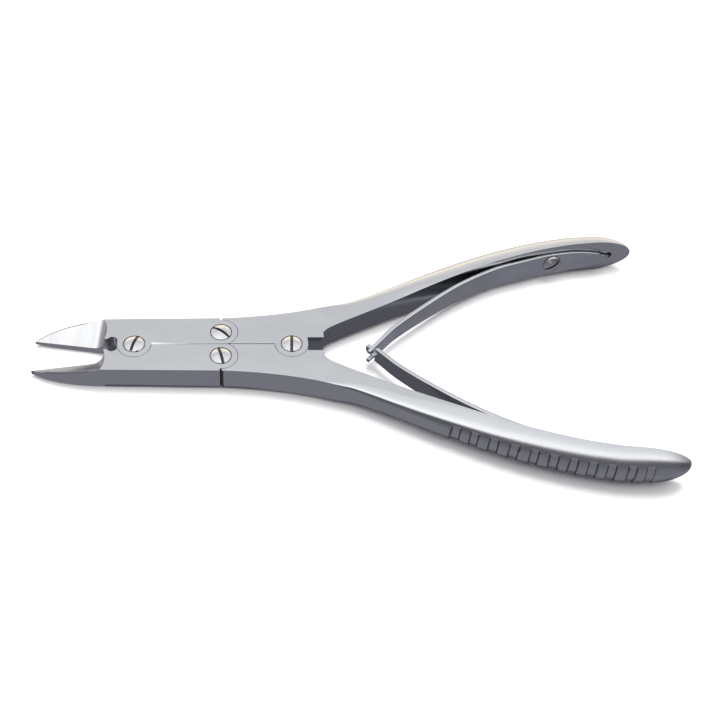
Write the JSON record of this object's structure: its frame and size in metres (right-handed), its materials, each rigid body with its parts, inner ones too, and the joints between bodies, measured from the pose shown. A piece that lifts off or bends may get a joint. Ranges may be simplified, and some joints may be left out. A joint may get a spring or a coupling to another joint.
{
  "type": "double-action nipping pliers",
  "caption": "Steel double-action nipping pliers with half-lapped compound pivots, ground blades, grooved grips and hooked leaf springs that hold the handles open.",
  "frame": {"origin": "under the middle of the tool's length, on the plane of symmetry, level with the lowest points of the handles", "axes": "+X from the jaws towards the handles' ends, +Y towards the handle that carries the upper spring, +Z along the pivots towards the screw heads"},
  "size_m": [0.1799, 0.0902, 0.0121],
  "materials": {
    "satin_steel": "satin",
    "spring_steel": "polished",
    "screw_steel": "bright"
  },
  "bodies": {
    "lower_handle": {"lower_handle": "satin_steel", "rear_pivot_screw": "screw_steel", "lower_link_screw": "screw_steel", "lower_spring_screw": "screw_steel"},
    "upper_handle": {"upper_handle": "satin_steel", "upper_link_screw": "screw_steel", "upper_spring_screw": "screw_steel"},
    "lower_jaw": {"lower_jaw": "satin_steel", "front_pivot_screw": "screw_steel"},
    "upper_jaw": {"upper_jaw": "satin_steel"},
    "upper_spring": {"upper_spring": "spring_steel"},
    "lower_spring": {"lower_spring": "spring_steel"}
  },
  "joints": [
    {"name": "handle_pivot", "type": "hinge", "parent": "lower_handle", "child": "upper_handle", "pos_m": [-0.0177, 0, 0.00605], "axis": [0, 0, -1], "range_deg": [0, 25.3], "stiffness_Nm_per_rad": 2.5, "springref_deg": -8.59},
    {"name": "lower_link_pivot", "type": "hinge", "parent": "lower_handle", "child": "lower_jaw", "pos_m": [-0.0376, -0.00435, 0.00605], "axis": [0, 0, -1], "range_deg": [0, 23.1]},
    {"name": "jaw_pivot", "type": "hinge", "parent": "lower_jaw", "child": "upper_jaw", "pos_m": [-0.0617, 0, 0.00605], "axis": [0, 0, 1], "range_deg": [0, 20.8]},
    {"name": "upper_spring_bend", "type": "hinge", "parent": "upper_handle", "child": "upper_spring", "pos_m": [0.0443, 0.0299, 0.00605], "axis": [0, 0, -1], "range_deg": [0, 6.8], "deforming": ["upper_spring"]},
    {"name": "lower_spring_bend", "type": "hinge", "parent": "lower_handle", "child": "lower_spring", "pos_m": [0.0443, -0.0299, 0.00605], "axis": [0, 0, 1], "range_deg": [0, 6.8], "deforming": ["lower_spring"]}
  ],
  "couplings": [
    {"joint": "lower_link_pivot", "follows": "handle_pivot", "ratio": 0.90937},
    {"joint": "jaw_pivot", "follows": "handle_pivot", "ratio": 0.81873},
    {"joint": "upper_spring_bend", "follows": "handle_pivot", "ratio": 0.265},
    {"joint": "lower_spring_bend", "follows": "handle_pivot", "ratio": 0.265}
  ]
}
